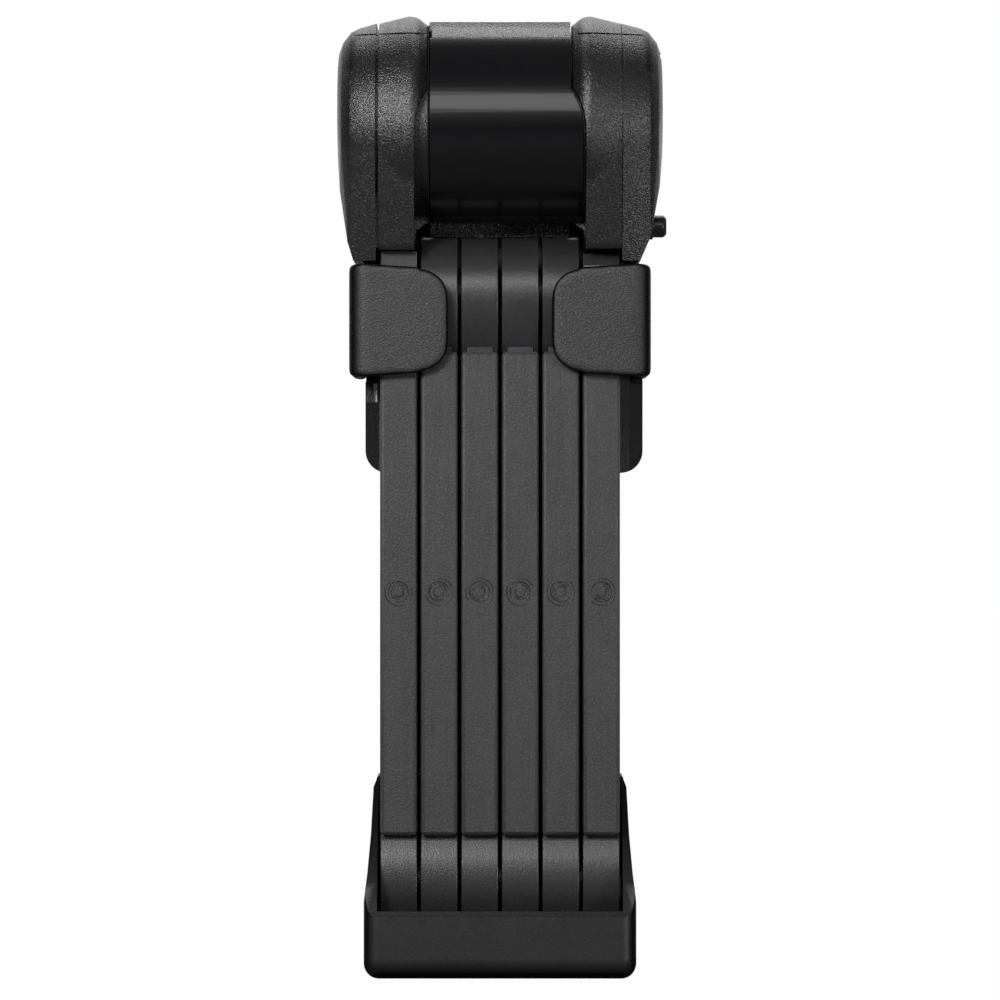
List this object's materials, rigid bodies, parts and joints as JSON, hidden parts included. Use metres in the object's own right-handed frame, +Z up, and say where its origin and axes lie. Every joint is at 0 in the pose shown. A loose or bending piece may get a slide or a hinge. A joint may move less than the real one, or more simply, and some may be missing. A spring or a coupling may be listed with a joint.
{
  "type": "folding bike lock",
  "caption": "Folding bike lock with hinged steel bars in plastic sleeves under a barrel-shaped key lock, stowed in a frame bracket with spring clip arms and a tray.",
  "frame": {"origin": "centre of the underside of the bracket's tray", "axes": "+Z up along the stowed bars, the lock faces -Y, +X to the right of someone facing it, along the bar stack"},
  "size_m": [0.08, 0.0532, 0.2332],
  "materials": {
    "bar_steel": "hardened steel bar, satin",
    "sleeve_plastic": "fine moulded grain, dark grey",
    "cover_plastic": "satin moulded, dark grey",
    "rivet_steel": "turned steel",
    "cylinder_brass": "plain brass",
    "washer_nylon": "smooth black nylon",
    "head_plastic": "sparkling moulded grain, black",
    "gloss_plate": "polished black, bare",
    "plug_steel": "machined steel",
    "flap_plastic": "smooth black",
    "bracket_plastic": "grained moulded, dark grey",
    "tray_plastic": "satin moulded, black",
    "pad_rubber": "soft black rubber"
  },
  "bodies": {
    "bracket": {"bracket_spine": "bracket_plastic", "head_rest": "bracket_plastic", "rattle_strips": "pad_rubber", "bracket_tray": "tray_plastic", "tray_pad": "pad_rubber", "bolt_plugs": "pad_rubber", "spine_screws": "rivet_steel", "clip_arm_left": "bracket_plastic", "clip_arm_right": "bracket_plastic", "clip_pins": "rivet_steel"},
    "head": {"right_leg": "head_plastic", "left_cap": "head_plastic", "right_cap": "head_plastic", "lock_block": "bar_steel", "barrel_casing": "head_plastic", "nameplate": "gloss_plate", "cap_pins": "rivet_steel", "cylinder_shell": "cylinder_brass", "flap_pin": "rivet_steel"},
    "link_1": {"bar_core_1": "bar_steel", "bar_sleeve_1": "sleeve_plastic", "end_covers_1": "cover_plastic", "rivet_1": "rivet_steel", "pivot_washer_1": "washer_nylon", "left_leg": "head_plastic"},
    "link_2": {"bar_core_2": "bar_steel", "bar_sleeve_2": "sleeve_plastic", "end_covers_2": "cover_plastic", "rivet_2": "rivet_steel", "pivot_washer_2": "washer_nylon"},
    "link_3": {"bar_core_3": "bar_steel", "bar_sleeve_3": "sleeve_plastic", "end_covers_3": "cover_plastic", "rivet_3": "rivet_steel", "pivot_washer_3": "washer_nylon"},
    "link_4": {"bar_core_4": "bar_steel", "bar_sleeve_4": "sleeve_plastic", "end_covers_4": "cover_plastic", "rivet_4": "rivet_steel", "pivot_washer_4": "washer_nylon"},
    "link_5": {"bar_core_5": "bar_steel", "bar_sleeve_5": "sleeve_plastic", "end_covers_5": "cover_plastic", "rivet_5": "rivet_steel", "pivot_washer_5": "washer_nylon"},
    "link_6": {"bar_core_6": "bar_steel", "bar_sleeve_6": "sleeve_plastic", "end_covers_6": "cover_plastic"},
    "plug": {"key_plug": "plug_steel", "plug_clip": "rivet_steel"},
    "bolt": {"locking_bolt": "plug_steel"},
    "flap": {"dust_flap": "flap_plastic"}
  },
  "joints": [
    {"name": "lift_out", "type": "slide", "parent": "bracket", "child": "head", "axis": [0, 0, 1], "range_m": [0, 0.65]},
    {"name": "unfold", "type": "hinge", "parent": "head", "child": "link_1", "pos_m": [-0.0245, 0, 0.207], "axis": [-1, 0, 0], "range_deg": [0, 85], "deforming": ["clip_arm_left", "clip_arm_right"]},
    {"name": "fold_1", "type": "hinge", "parent": "link_1", "child": "link_2", "pos_m": [-0.0196, 0, 0.0218], "axis": [1, 0, 0], "range_deg": [0, 170]},
    {"name": "fold_2", "type": "hinge", "parent": "link_2", "child": "link_3", "pos_m": [-0.0098, 0, 0.1652], "axis": [-1, 0, 0], "range_deg": [0, 170]},
    {"name": "fold_3", "type": "hinge", "parent": "link_3", "child": "link_4", "pos_m": [0, 0, 0.0218], "axis": [1, 0, 0], "range_deg": [0, 170]},
    {"name": "fold_4", "type": "hinge", "parent": "link_4", "child": "link_5", "pos_m": [0.0098, 0, 0.1652], "axis": [-1, 0, 0], "range_deg": [0, 170]},
    {"name": "fold_5", "type": "hinge", "parent": "link_5", "child": "link_6", "pos_m": [0.0196, 0, 0.0218], "axis": [1, 0, 0], "range_deg": [0, 170]},
    {"name": "key_turn", "type": "hinge", "parent": "head", "child": "plug", "pos_m": [0.02, 0, 0.207], "axis": [1, 0, 0], "range_deg": [0, 90]},
    {"name": "bolt_throw", "type": "slide", "parent": "head", "child": "bolt", "axis": [0, 0, -1], "range_m": [0, 0.00495]},
    {"name": "flap_swing", "type": "hinge", "parent": "head", "child": "flap", "pos_m": [0.0368, 0, 0.216], "axis": [1, 0, 0], "range_deg": [0, 80]}
  ],
  "couplings": [
    {"joint": "lift_out", "follows": "unfold", "m_per_rad": 0.43814},
    {"joint": "fold_1", "follows": "unfold", "ratio": 2},
    {"joint": "fold_2", "follows": "unfold", "ratio": 2},
    {"joint": "fold_3", "follows": "unfold", "ratio": 2},
    {"joint": "fold_4", "follows": "unfold", "ratio": 2},
    {"joint": "fold_5", "follows": "unfold", "ratio": 2},
    {"joint": "bolt_throw", "follows": "key_turn", "m_per_rad": 0.0031511}
  ]
}
